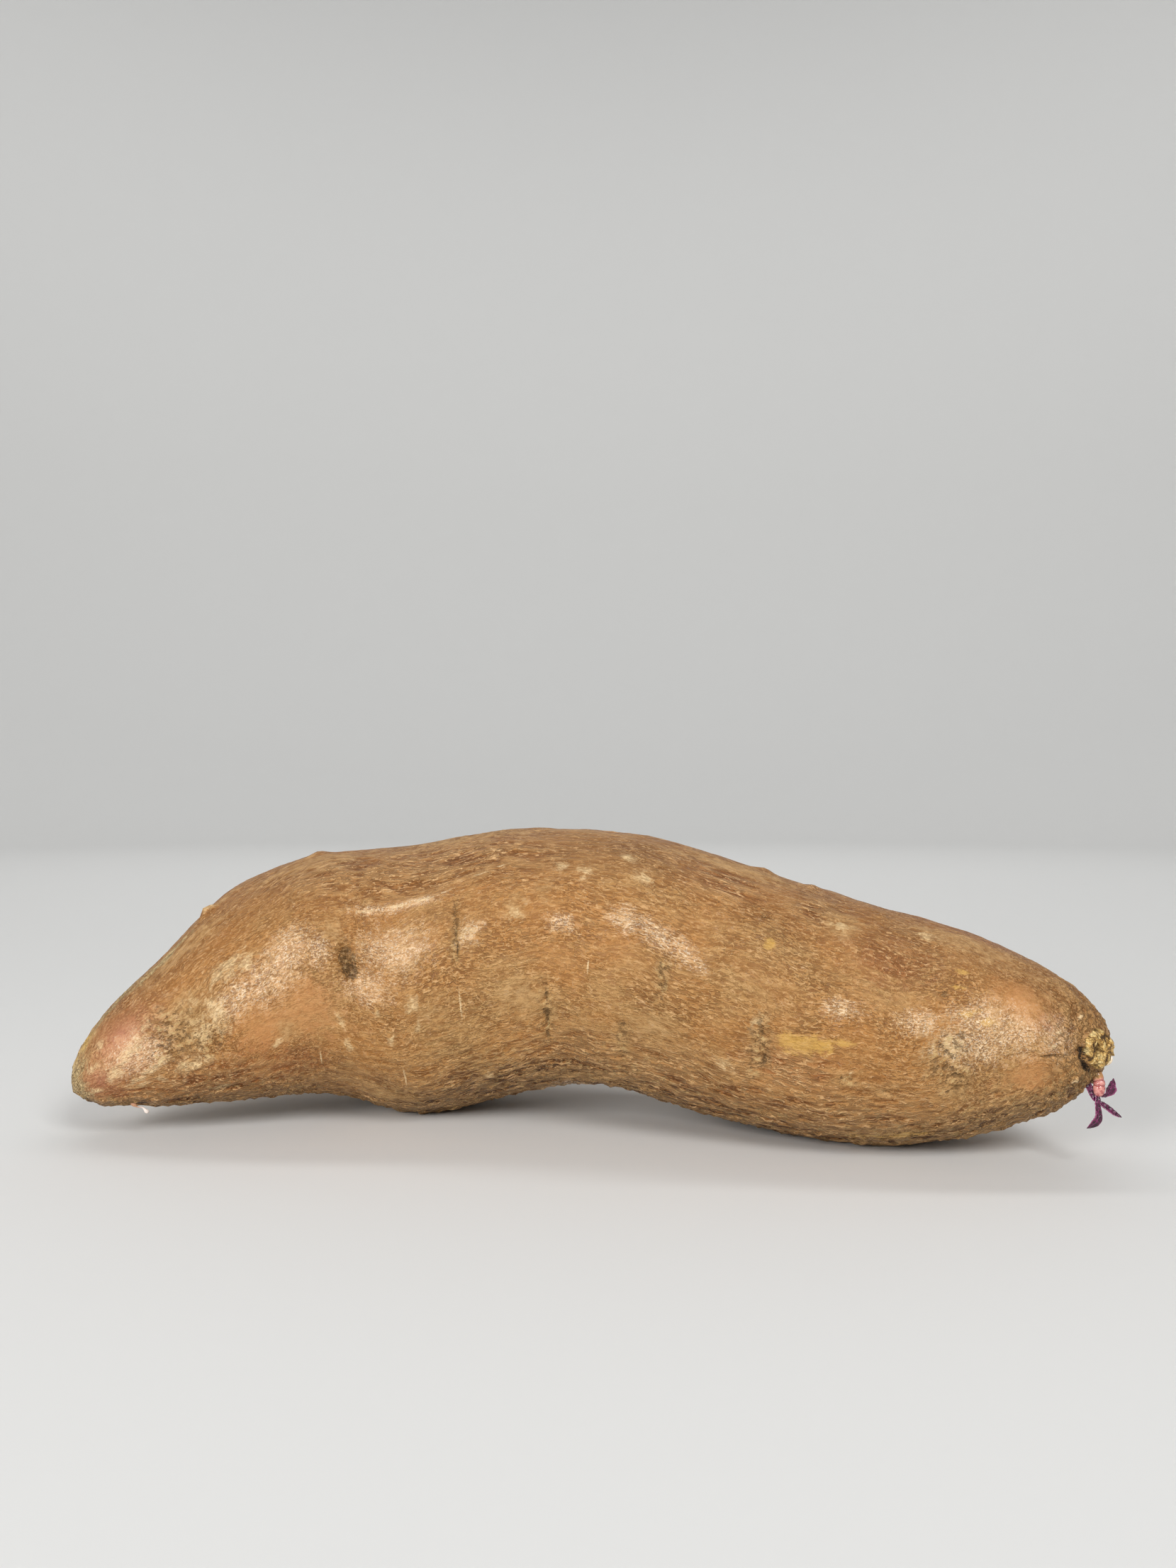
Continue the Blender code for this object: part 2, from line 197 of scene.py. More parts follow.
def spline_bends(rows, level_columns):
    """Second derivatives at the knots of the cubic spline through rows.

    bend[i-1] + 4 bend[i] + bend[i+1] = 6 (row[i-1] - 2 row[i] + row[i+1]); a level column
    arrives at both ends with no slope, and any other with no bend.
    """
    last = len(rows) - 1
    bends = np.zeros_like(rows)
    for column in range(rows.shape[1]):
        heights = rows[:, column]
        system = np.eye(last + 1)
        target = np.zeros(last + 1)
        for i in range(1, last):
            system[i, i - 1:i + 2] = (1.0, 4.0, 1.0)
            target[i] = 6.0 * (heights[i - 1] - 2.0 * heights[i] + heights[i + 1])
        if column in level_columns:
            system[0, :2] = (2.0, 1.0)
            target[0] = 6.0 * (heights[1] - heights[0])
            system[last, last - 1:] = (1.0, 2.0)
            target[last] = 6.0 * (heights[last - 1] - heights[last])
        bends[:, column] = np.linalg.solve(system, target)
    return bends


def read_spline(rows, bends, places):
    """Rows at any places, counted in knots from the first."""
    last = len(rows) - 1
    knot = np.clip(places.astype(int), 0, last - 1)
    ahead = (places - knot)[:, None]
    behind = 1.0 - ahead
    curve = (bends[knot] * behind**3 + bends[knot + 1] * ahead**3) / 6.0
    curve += (rows[knot] - bends[knot] / 6.0) * behind
    curve += (rows[knot + 1] - bends[knot + 1] / 6.0) * ahead
    return curve


def unit(vectors):
    """Vectors scaled to length one."""
    return vectors / np.linalg.norm(vectors, axis=-1, keepdims=True)


ROOT_BENDS = spline_bends(ROOT_STATIONS, level_columns=(0, 1, 2))


def root_rows(places):
    """Ring middle, half height and half depth at places along the root."""
    return read_spline(ROOT_STATIONS, ROOT_BENDS, places)


def root_headings(places):
    """The way the root runs, from one reach behind to one reach ahead."""
    ahead = root_rows(np.minimum(places + TILT_REACH, LAST_STATION))[:, :3]
    behind = root_rows(np.maximum(places - TILT_REACH, 0.0))[:, :3]
    return unit(ahead - behind)


def bare_root(places, turns):
    """middle + front * half depth * cos(turn) + top * half height * sin(turn)."""
    rows = root_rows(places)
    along = root_headings(places)
    front = unit(np.cross(along, (0.0, 0.0, 1.0)))
    top = np.cross(front, along)
    reach_front = rows[:, 4, None] * np.cos(turns)
    reach_top = rows[:, 3, None] * np.sin(turns)
    return (rows[:, None, :3] + front[:, None] * reach_front[..., None]
            + top[:, None] * reach_top[..., None])


STEM_END = root_rows(np.array([float(LAST_STATION)]))[0, :3]
STEM_WAY = root_headings(np.array([float(LAST_STATION)]))[0]


def from_stem_axis(points):
    """Distance of points from the line through the stump's middle, and their height."""
    offset = points - STEM_END
    height = offset @ STEM_WAY
    return np.linalg.norm(offset - height[..., None] * STEM_WAY, axis=-1), height


def ease(share):
    """0 below 0, 1 above 1, and 3 s^2 - 2 s^3 between."""
    share = np.clip(share, 0.0, 1.0)
    return share * share * (3.0 - 2.0 * share)


def stump_rise(points, radius=STUMP_RADIUS):
    """1 on the stump, 0 off it, and an eased wall between."""
    spread, height = from_stem_axis(points)
    return ease((radius - spread) / STUMP_WALL) * (height > -2.0 * STUMP_RADIUS)


def frame_shift():
    """Millimetres from the root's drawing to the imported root, corner to corner."""
    turns = np.linspace(0.0, 2.0 * np.pi, CAD_SIDES, endpoint=False)
    rings = bare_root(np.linspace(0.0, LAST_STATION, CAD_RINGS), turns)
    rings += STUMP_HEIGHT * stump_rise(rings)[..., None] * STEM_WAY
    rings[..., 2] = np.maximum(rings[..., 2], SEAT_DEPTH)
    low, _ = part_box("tuber")
    return np.array(low) / MM - rings.reshape(-1, 3).min(axis=0)


SHIFT = frame_shift()


def noise(points, seed):
    """Gradient noise, about -1 to 1, one cell to the unit.

    Each corner of a cell has a random slope; the eight slopes' heights at the point are
    blended with 6 t^5 - 15 t^4 + 10 t^3.
    """
    rng = np.random.default_rng(seed)
    order = np.tile(rng.permutation(256), 2)
    slopes = unit(rng.normal(size=(256, 3)))
    cell = np.floor(points).astype(int)
    inside = points - cell
    cell &= 255
    blend = inside**3 * (inside * (inside * 6.0 - 15.0) + 10.0)
    total = np.zeros(points.shape[:-1])
    for corner in np.ndindex(2, 2, 2):
        key = order[order[order[cell[..., 0] + corner[0]] + cell[..., 1] + corner[1]]
                    + cell[..., 2] + corner[2]]
        lift = ((inside - corner) * slopes[key]).sum(axis=-1)
        weight = np.where(corner, blend, 1.0 - blend).prod(axis=-1)
        total += weight * lift
    return total * 1.7


def cells(points, seed):
    """Distances from each point to the nearest and second nearest of random seeds.

    Every unit cell holds one seed.  The difference of the two is a crack network.
    """
    rng = np.random.default_rng(seed)
    order = np.tile(rng.permutation(256), 2)
    spots = rng.uniform(size=(256, 3))
    cell = np.floor(points).astype(int)
    inside = points - cell
    nearest = np.full(points.shape[:-1], 9.0)
    second = nearest.copy()
    for step in np.ndindex(3, 3, 3):
        move = np.array(step) - 1
        near = (cell + move) & 255
        key = order[order[order[near[..., 0]] + near[..., 1]] + near[..., 2]]
        away = np.linalg.norm(spots[key] + move - inside, axis=-1)
        second = np.minimum(second, np.maximum(nearest, away))
        nearest = np.minimum(nearest, away)
    return nearest, second


# Rings stand a millimetre apart at most, and closer at the tip, the crossings and the stump.
RING_LINE = np.linspace(0.0, LAST_STATION, 3201)
RING_MIDDLES = root_rows(RING_LINE)[:, :3]
RING_LENGTHS = np.concatenate(
    ([0.0], np.linalg.norm(np.diff(RING_MIDDLES, axis=0), axis=1).cumsum()))
ROOT_LENGTH = RING_LENGTHS[-1]
off_ends = ease((ROOT_LENGTH - RING_LENGTHS) / 24.0) * ease(RING_LENGTHS / 9.0 + 0.25)
to_crossing = np.abs(RING_LENGTHS[:, None] - CROSSING_PLACES).min(axis=1)
ring_spacing = (0.22 + 0.85 * off_ends) * (1.0 - 0.62 * ease((2.4 - to_crossing) / 1.4))
ring_count = np.concatenate(([0.0], (np.diff(RING_LENGTHS) / ring_spacing[1:]).cumsum()))
ring_places = np.interp(np.linspace(0.0, ring_count[-1], SKIN_RINGS), ring_count, RING_LINE)
ring_turns = np.linspace(0.0, 2.0 * np.pi, SKIN_SIDES, endpoint=False)

skin = bare_root(ring_places, ring_turns)
along = np.interp(ring_places, RING_LINE, RING_LENGTHS)[:, None] + np.zeros_like(skin[..., 0])
radius = root_rows(ring_places)[:, 3:].mean(axis=1)[:, None] + np.zeros_like(along)
turn = np.degrees(ring_turns)[None, :] + np.zeros_like(along)

# Straightened skin: along the root, and round it at its own radius.
grain = np.stack((along, radius * np.cos(ring_turns), radius * np.sin(ring_turns)), axis=-1)
drift = np.stack([noise(grain / 16.0 + k * 7.3, 40 + k) for k in range(3)], axis=-1)
grain_warped = grain + drift * (1.5, 1.6, 1.6)


def stretched(length, width, shift=0.0):
    """Grain places in cells of the given length along the root and width across it."""
    return grain_warped / (length, width, width) + shift


def how_far(place, angle, half_length, half_width, tilt):
    """Distance from an oval's middle, counted in its own half lengths."""
    level = along - place
    round_way = np.radians((turn - angle + 180.0) % 360.0 - 180.0) * radius
    c, s = np.cos(np.radians(tilt)), np.sin(np.radians(tilt))
    return np.hypot((level * c + round_way * s) / half_length,
                    (round_way * c - level * s) / half_width)


def marks(ovals):
    """1 at the middle of the nearest oval, 0 on its rim, and down to -1 outside.

    Outside, the field falls off over the oval's own half width, and over no less than a
    millimetre.
    """
    field = np.full(along.shape, -1.0)
    for place, angle, half_length, half_width, tilt in ovals:
        far = how_far(place, angle, half_length, half_width, tilt)
        fall = max(1.0, 1.0 / min(half_length, half_width))
        field = np.maximum(field, np.where(far < 1.0, 1.0 - far, (1.0 - far) / fall))
    return field


def scattered(seed, count, half_length, half_width):
    """Random ovals over the side of the root away from its marked face."""
    rng = np.random.default_rng(seed)
    places = rng.uniform(12.0, 218.0, count)
    angles = rng.uniform(98.0, 292.0, count)
    grow = rng.uniform(0.6, 1.4, (count, 2))
    return tuple((places[k], angles[k], half_length * grow[k, 0], half_width * grow[k, 1], 0.0)
                 for k in range(count))


grey = marks(GREY_MARKS + scattered(61, 24, 5.0, 5.5))
pale = marks(PALE_MARKS + scattered(62, 26, 2.4, 2.2))
dark = marks(DARK_MARKS + scattered(63, 9, 0.8, 4.0) + scattered(73, 12, 0.8, 0.8))
yellow = marks(YELLOW_MARKS + scattered(64, 10, 2.4, 1.3))
rosy = marks(ROSY_MARKS + scattered(65, 5, 9.0, 7.0))
calm_field = marks(CALM_MARKS + scattered(66, 5, 10.0, 7.0))
glossy_painted_sheen = marks(GLOSSY_PAINTED_SHEEN_MARKS + scattered(67, 12, 8.0, 4.0))
brown = marks(BROWN_MARKS + scattered(68, 8, 16.0, 8.0))
thread_and_ridge_highlight = marks(THREAD_AND_RIDGE_HIGHLIGHT_MARKS + scattered(69, 8, 0.7, 3.4))
scurfy = marks(SCURFY_MARKS + scattered(71, 12, 3.4, 4.0) + scattered(72, 7, 1.6, 6.0))
russet = marks(RUSSET_MARKS + scattered(74, 6, 12.0, 5.0))
rim = marks(RIM_MARKS)

# Broad swellings, then wrinkles along the root: strong below, in the brown folds and near
# the stump, faint on the smooth cheeks.
height = 0.5 * noise(grain / 24.0, 11) + 0.3 * noise(grain / 10.0, 12) - 0.4
for place, angle, half_length, half_width, tilt, rise in SWELLINGS:
    height += rise * np.exp(-how_far(place, angle, half_length, half_width, tilt) ** 2)
for k, (place, angle, half_length, half_width, tilt) in enumerate(scattered(70, 22, 6.0, 4.5)):
    height += (0.7, -0.5)[k % 2] * np.exp(-how_far(place, angle, half_length, half_width, tilt) ** 2)
up = np.sin(np.radians(turn))
on_belly = np.exp(-(((along - 58.0) / 18.0) ** 2))
below = ease(-0.12 - 1.25 * up - 0.3 * on_belly)
above = ease(2.0 * up - 1.0)
near_stump = ease((along - ROOT_LENGTH + 16.0) / 13.0)
calm = 1.0 - 0.8 * ease(calm_field * 1.6)
folded = ease(brown * 1.4 + 0.6)
folds = 1.0 - 2.0 * np.abs(noise(stretched(11.0, 2.5), 21))
creases = 1.0 - 2.0 * np.abs(noise(stretched(5.5, 1.35, 3.3), 22))
pleats = noise(stretched(8.0, 1.7, 5.1), 23)
fold_share = 0.25 + 0.6 * below + 0.8 * near_stump + 0.55 * folded
fold_share += 0.2 * ease(noise(grain / 18.0, 24) * 1.5)
wrinkles = (0.26 * folds * fold_share + 0.13 * creases + 0.10 * pleats * fold_share) * calm
height += wrinkles

# The pit, slits and scurf sink in; crusts, threads and flakes stand proud; bark is plated.
scurf = noise(grain / 1.2, 31)
flakes = ease(noise(grain / 1.7, 32) * 2.4 - 0.5)
bark = np.maximum(ease((along - ROOT_LENGTH + 11.0) / 9.0), 0.7 * ease(rim * 1.5 + 0.5))
nearest, second = cells(stretched(2.6, 1.5, 2.0) + 0.5 * noise(grain / 1.6, 38)[..., None], 39)
plates = ease((second - nearest) * 3.0)
height -= ease(dark + 0.3) * 0.3 + ease(dark * 1.4) * 0.3
from_pit = how_far(*PIT)
pit = ease((1.1 - from_pit) * 4.0)
height += 0.25 * np.exp(-((from_pit - 1.3) / 0.2) ** 2) - pit * (0.8 + 0.5 * scurf)
dark = np.maximum(dark, 1.6 * pit - 1.1)
height += bark * (0.22 * plates - 0.12) - 0.22 * ease(scurfy * 1.5 + 0.3) * ease(scurf * 2.0)
height += ease(pale * 1.5 + 0.2) * (0.12 + 0.12 * scurf) + 0.06 * scurf * calm
height += 0.15 * ease(thread_and_ridge_highlight * 2.0) + 0.38 * flakes * np.maximum(below, 0.3 * bark)
height += ease(grey * 1.5) * 0.07 * scurf

skin_normal = np.cross(np.roll(skin, -1, axis=1) - np.roll(skin, 1, axis=1),
                       np.gradient(skin, axis=0))
facing = (skin_normal * (skin - root_rows(ring_places)[:, None, :3])).sum(axis=-1, keepdims=True)
skin_normal = unit(np.where(facing < 0.0, -skin_normal, skin_normal) + 1e-12)

# The stump stands on the end as a crumbly plug, with a ragged rim and craters.
stump = stump_rise(skin, STUMP_RADIUS * (0.95 + 0.12 * noise(skin / 3.2, 34)))
nearest, second = cells(skin / 1.9 + 0.7 * noise(skin / 1.2, 40)[..., None], 35)
craters = ease((0.52 - nearest) / 0.22) * ease(0.55 + 2.4 * noise(skin / 3.4, 41))
plug = STUMP_HEIGHT * 0.85 + 0.45 * noise(skin / 1.9, 33) + 0.3 * noise(skin / 0.7, 36) - 1.1 * craters
# Where the plug sinks into its craters, the colour gets painted shade.
painted_hollow_shade = ease((STUMP_HEIGHT * 0.5 - plug) / 0.7)
spread = from_stem_axis(skin)[0]
moat = ease((spread - STUMP_RADIUS + 0.8) / 0.6) * ease((STUMP_RADIUS + 1.2 - spread) / 1.2)
rim_side = ease(1.5 * noise(skin / 1.8, 37) + 2.0 * np.cos(np.radians(turn + 30.0)) - 1.2)
moat *= rim_side * (along > ROOT_LENGTH - 12.0)

skin = skin + skin_normal * (height * (1.0 - stump) - 0.8 * moat)[..., None]
skin = skin + (plug * stump)[..., None] * STEM_WAY

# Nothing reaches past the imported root's box: the last half millimetre is squeezed at the
# sides, the ends and the top, and the seats are cut flat.
SQUEEZE = 0.5
cad_low, cad_high = (np.array(corner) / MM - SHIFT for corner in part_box("tuber"))
for way, side in ((1.0, cad_high), (-1.0, cad_low)):
    room = way * (side - skin)
    room = np.where(room < SQUEEZE, SQUEEZE * np.exp(room / SQUEEZE - 1.0), room)
    squeezed = side - way * room
    if way > 0.0:
        skin = squeezed
    else:
        skin[..., :2] = squeezed[..., :2]
skin[..., 2] = np.maximum(skin[..., 2], SEAT_DEPTH)


def closed_surface(name, rings, attributes=None):
    """A mesh of quads over a grid of rings, closed at both ends on their middles.

    The grid runs ring by ring along the piece and turns the same way on each ring.  An
    attribute is three numbers for each place of the same grid.
    """
    count, sides, _ = rings.shape
    inner = rings[1:-1].reshape(-1, 3)
    ends = np.array((rings[0].mean(axis=0), rings[-1].mean(axis=0)))
    points = (np.vstack((inner, ends)) + SHIFT) * MM
    here = np.arange((count - 3) * sides).reshape(count - 3, sides)
    beside = np.roll(here, -1, axis=1)
    quads = np.stack((here, here + sides, beside + sides, beside), axis=-1).reshape(-1, 4)
    first = np.arange(sides)
    final = first + (count - 3) * sides
    start_fan = np.stack((np.full(sides, len(inner)), first, np.roll(first, -1)), axis=-1)
    end_fan = np.stack((final, np.full(sides, len(inner) + 1), np.roll(final, -1)), axis=-1)
    corners = np.concatenate((quads.ravel(), start_fan.ravel(), end_fan.ravel()))
    sizes = np.concatenate((np.full(len(quads), 4), np.full(2 * sides, 3)))
    mesh = bpy.data.meshes.new(name)
    mesh.vertices.add(len(points))
    mesh.vertices.foreach_set("co", points.ravel())
    mesh.loops.add(len(corners))
    mesh.loops.foreach_set("vertex_index", corners)
    mesh.polygons.add(len(sizes))
    mesh.polygons.foreach_set("loop_start", np.concatenate(([0], sizes.cumsum()[:-1])))
    for title, values in (attributes or {}).items():
        flat = values[1:-1].reshape(-1, 3)
        tips = np.array((values[0].mean(axis=0), values[-1].mean(axis=0)))
        layer = mesh.attributes.new(title, "FLOAT_VECTOR", "POINT")
        layer.data.foreach_set("vector", np.concatenate((flat, tips)).ravel())
    mesh.update()
    mesh.validate()
    mesh.shade_smooth()
    piece = bpy.data.objects.new(name, mesh)
    bpy.context.scene.collection.objects.link(piece)
    return piece


# The relief's middle number, below less above, sets where the colour gets painted shade and where the
# wrinkles run longer.
root = closed_surface("root_skin", skin, {
    "grain": grain_warped,
    "relief": np.stack((np.clip(wrinkles / 0.25, -1.0, 1.0), below - above, glossy_painted_sheen), axis=-1),
    "crusts": np.stack((grey, pale, dark), axis=-1),
    "tints": np.stack((rosy, yellow, calm_field), axis=-1),
    "bark": np.stack((stump, brown, thread_and_ridge_highlight), axis=-1),
    "plug": np.stack((painted_hollow_shade, bark, moat), axis=-1),
    "patches": np.stack((scurfy, russet, rim), axis=-1),
})


def tint(red, green, blue):
    """A colour as a screen shows it, 0 to 255, in linear light."""
    share = np.array((red, green, blue)) / 255.0
    light = np.where(share <= 0.04045, share / 12.92, ((share + 0.055) / 1.055) ** 2.4)
    return (*light.tolist(), 1.0)


class Finish:
    """A material, and the few kinds of node that it is built from.

    Every method takes sockets or plain values and gives back the socket of its result.
    """

    def __init__(self, name):
        self.material = bpy.data.materials.new(name)
        self.material.use_nodes = True
        self.tree = self.material.node_tree
        self.shader = self.tree.nodes["Principled BSDF"]

    def feed(self, socket, value):
        if isinstance(value, bpy.types.NodeSocket):
            self.tree.links.new(value, socket)
        else:
            socket.default_value = value

    def node(self, kind, inputs, **settings):
        made = self.tree.nodes.new(kind)
        for key, value in settings.items():
            setattr(made, key, value)
        for key, value in inputs.items():
            self.feed(made.inputs[key], value)
        return made

    def attribute(self, name):
        return self.node("ShaderNodeAttribute", {}, attribute_name=name).outputs["Vector"]

    def parts(self, vector):
        return self.node("ShaderNodeSeparateXYZ", {"Vector": vector}).outputs

    def ramp(self, value, low, high, to_low=0.0, to_high=1.0):
        """The value eased from one range to another and held at both ends."""
        inputs = {"Value": value, "From Min": low, "From Max": high, "To Min": to_low, "To Max": to_high}
        return self.node("ShaderNodeMapRange", inputs, interpolation_type="SMOOTHSTEP").outputs["Result"]

    def math(self, operation, first, second=0.0):
        return self.node("ShaderNodeMath", {0: first, 1: second}, operation=operation).outputs["Value"]

    def plus(self, first, second):
        return self.math("ADD", first, second)

    def minus(self, first, second):
        return self.math("SUBTRACT", first, second)

    def times(self, first, second):
        return self.math("MULTIPLY", first, second)

    def larger(self, first, second):
        return self.math("MAXIMUM", first, second)

    def arrow(self, operation, first, second):
        """Sum, difference or product of two places, axis by axis."""
        made = self.node("ShaderNodeVectorMath", {0: first, 1: second}, operation=operation)
        return made.outputs["Vector"]

    def mix(self, share, first, second):
        """The first colour where share is 0, the second where it is 1."""
        made = self.node("ShaderNodeMix", {0: share, 6: first, 7: second}, data_type="RGBA")
        return made.outputs[2]

    def glaze(self, first, over, share, strength):
        """The first colour with another over it, at its full strength where share is 1."""
        return self.mix(self.times(share, strength), first, over)

    def placed(self, vector, cell, shift=0.0):
        """Places counted in cells of the given size."""
        scale = tuple(1.0 / c for c in cell)
        inputs = {"Vector": vector, "Scale": scale, "Location": (shift,) * 3}
        return self.node("ShaderNodeMapping", inputs).outputs["Vector"]

    def cloud(self, vector, cell, detail=3.0, rough=0.55, warp=0.0, shift=0.0):
        """Soft noise, 0 to 1, its largest lumps one cell in size."""
        inputs = {"Vector": self.placed(vector, cell, shift), "Scale": 1.0, "Detail": detail,
                  "Roughness": rough, "Distortion": warp}
        return self.node("ShaderNodeTexNoise", inputs).outputs["Fac"]

    def line(self, value, middle, width):
        """1 where the value is at the middle, and 0 a width away from it."""
        away = self.math("ABSOLUTE", self.minus(value, middle))
        return self.ramp(away, 0.0, width, 1.0, 0.0)


cork = Finish("cork_skin")
place = cork.attribute("grain")
crest, under, glossy_painted_sheen_field = cork.parts(cork.attribute("relief"))
grey_field, pale_field, dark_field = cork.parts(cork.attribute("crusts"))
rosy_field, yellow_field, smooth_field = cork.parts(cork.attribute("tints"))
stump_share, brown_field, thread_and_ridge_highlight_field = cork.parts(cork.attribute("bark"))
painted_hollow_shade_share, bark_share, moat_share = cork.parts(cork.attribute("plug"))
scurfy_field, russet_field, rim_field = cork.parts(cork.attribute("patches"))

# Ragged rims: a field of ovals plus blots of two millimetres and grit of under half.
blot = cork.cloud(place, (2.4, 2.0, 2.0), detail=4.0, rough=0.62)
grit = cork.cloud(place, (0.45, 0.32, 0.32), detail=2.0, rough=0.6, shift=3.0)
streak = cork.cloud(place, (5.0, 1.3, 1.3), detail=4.0, rough=0.6, shift=11.0)
ragged_rim = cork.plus(cork.times(cork.minus(blot, 0.5), 2.6),
                       cork.times(cork.minus(grit, 0.5), 0.9))
speckle = cork.times(cork.minus(grit, 0.5), 2.6)


def ragged(field, low, high):
    """A field of ovals with a ragged rim, as a share."""
    return cork.ramp(cork.plus(field, ragged_rim), low, high)


grey_share = ragged(grey_field, -0.2, 0.9)
pale_share = ragged(pale_field, 0.0, 0.9)
yellow_share = ragged(yellow_field, -0.1, 0.6)
rosy_share = ragged(rosy_field, -0.7, 1.4)
calm_share = ragged(smooth_field, -0.8, 1.3)
glossy_painted_sheen_share = ragged(glossy_painted_sheen_field, -0.9, 1.0)
brown_share = ragged(brown_field, -0.9, 1.0)
russet_share = ragged(russet_field, -0.9, 0.9)
rim_share = ragged(rim_field, -0.5, 0.6)
scurfy_share = ragged(scurfy_field, -0.5, 0.6)
dark_share = cork.ramp(cork.plus(dark_field, speckle), -0.1, 0.5)
thread_and_ridge_highlight_share = cork.ramp(cork.plus(thread_and_ridge_highlight_field, cork.times(speckle, 0.4)), 0.2, 0.7)

# Wrinkles finer than the mesh: pale crests and dark valleys two thirds of a millimetre
# apart, that waver, branch and meet, and run longer below and in the brown folds.
wander = cork.placed(place, (1.7, 1.0, 1.0))
sway = cork.node("ShaderNodeTexNoise", {"Vector": wander, "Scale": 1.0, "Detail": 3.0})
sway = cork.arrow("SUBTRACT", sway.outputs["Color"], (0.5, 0.5, 0.5))
swayed = cork.arrow("ADD", place, cork.arrow("MULTIPLY", sway, (1.4, 1.05, 1.05)))
short_threads = cork.cloud(swayed, (1.9, 0.66, 0.66), detail=1.0, rough=0.4)
long_threads = cork.cloud(swayed, (4.6, 0.66, 0.66), detail=1.0, rough=0.4, shift=21.0)
short_wave = cork.cloud(swayed, (2.0, 0.38, 0.38), detail=1.0, rough=0.5, shift=5.0)
long_wave = cork.cloud(swayed, (4.2, 0.46, 0.46), detail=1.5, rough=0.55, shift=8.0)
low_or_brown = cork.larger(under, brown_share)
long_share = cork.ramp(low_or_brown, 0.0, 0.7, 0.2, 0.95)
threads = cork.mix(long_share, cork.line(short_threads, 0.5, 0.08), cork.line(long_threads, 0.5, 0.08))
wave = cork.mix(long_share, cork.ramp(short_wave, 0.38, 0.62), cork.ramp(long_wave, 0.42, 0.58))
rise = cork.plus(cork.times(threads, 0.55), cork.times(wave, 0.45))

vigour = cork.ramp(cork.cloud(place, (12.0, 8.0, 8.0), detail=3.0, shift=2.0), 0.32, 0.66, 0.5, 1.0)
vigour = cork.larger(vigour, cork.times(low_or_brown, 1.35))
for softer_share, left in ((calm_share, 0.25), (grey_share, 0.5), (bark_share, 0.6), (yellow_share, 0.4)):
    vigour = cork.times(vigour, cork.ramp(softer_share, 0.0, 1.0, 1.0, left))
crests = cork.times(cork.ramp(rise, 0.38, 0.88), vigour)
valleys = cork.times(cork.ramp(rise, 0.40, 0.05), vigour)

# Scurf is crumbs of dead cork with holes between; bark is split by long fissures.
scab = cork.cloud(place, (1.5, 1.1, 1.1), detail=3.0, rough=0.7, shift=17.0)
scab_holes = cork.times(cork.ramp(scab, 0.50, 0.62), scurfy_share)
flaking = cork.larger(cork.larger(scurfy_share, rim_share), cork.times(under, 0.7))
scab_crumbs = cork.times(cork.ramp(scab, 0.46, 0.36), flaking)
splits = cork.cloud(swayed, (5.2, 0.80, 0.80), detail=2.0, rough=0.5, shift=31.0)
fissures = cork.times(cork.line(splits, 0.5, 0.05), cork.larger(bark_share, rim_share))

# Sound skin: tan, with browner streaks and folds, orange cheeks and a pink tip.
tone = cork.ramp(cork.cloud(place, (26.0, 18.0, 18.0), detail=4.0), 0.36, 0.64)
colour = cork.mix(tone, tint(182, 128, 70), tint(175, 134, 82))
colour = cork.mix(cork.ramp(streak, 0.35, 0.7, 0.0, 0.65), colour, tint(158, 107, 54))
colour = cork.glaze(colour, tint(152, 95, 45), brown_share, 0.7)
colour = cork.glaze(colour, tint(204, 144, 90), calm_share, 0.65)
colour = cork.glaze(colour, tint(186, 120, 106), rosy_share, cork.ramp(blot, 0.3, 0.6, 0.9, 0.5))
colour = cork.glaze(colour, tint(150, 88, 44), russet_share, 0.7)
# Painted shade: the colour is darker towards the bottom, and darker again on top.
colour = cork.mix(cork.ramp(under, 0.66, 1.0, 0.0, 0.6), colour, tint(114, 74, 34))
colour = cork.mix(cork.ramp(under, 0.0, -1.0, 0.0, 0.55), colour, tint(134, 86, 40))

# What lies on it: painted sheen on the glossy patches, grey scurf, bark, crust and yellow stains.
scurf_colour = cork.mix(cork.ramp(blot, 0.35, 0.65), tint(154, 118, 72), tint(194, 156, 106))
crust_colour = cork.mix(cork.ramp(grit, 0.35, 0.6), tint(152, 128, 84), tint(214, 192, 144))
stain_colour = cork.mix(grit, tint(192, 142, 60), tint(222, 182, 98))
# Painted sheen: the glossy patches are paler.
colour = cork.glaze(colour, tint(232, 184, 130), glossy_painted_sheen_share, 0.55)
colour = cork.glaze(colour, scurf_colour, grey_share, 0.7)
colour = cork.glaze(colour, tint(146, 102, 56), bark_share, 0.65)
colour = cork.glaze(colour, crust_colour, rim_share, 0.8)
colour = cork.glaze(colour, stain_colour, yellow_share, 0.75)

# Wrinkles: brown in the valleys, their own darker ground with painted shade that grows towards the bottom,
# and near black painted shade in the valleys below; cream on the crests, with painted highlight on them
# and painted glints in the glossy patches.
painted_shade_low_valleys = cork.times(valleys, cork.ramp(under, 0.6, 1.0))
painted_glints = cork.times(cork.ramp(grit, 0.54, 0.66), glossy_painted_sheen_share)
colour = cork.glaze(colour, tint(112, 68, 28), valleys, cork.ramp(under, 0.0, 1.0, 0.7, 0.9))
colour = cork.glaze(colour, tint(64, 42, 20), painted_shade_low_valleys, 0.6)
colour = cork.glaze(colour, tint(222, 178, 126), crests, 0.7)
colour = cork.glaze(colour, tint(246, 214, 172), crests, glossy_painted_sheen_share)
colour = cork.glaze(colour, tint(255, 234, 204), painted_glints, 0.8)
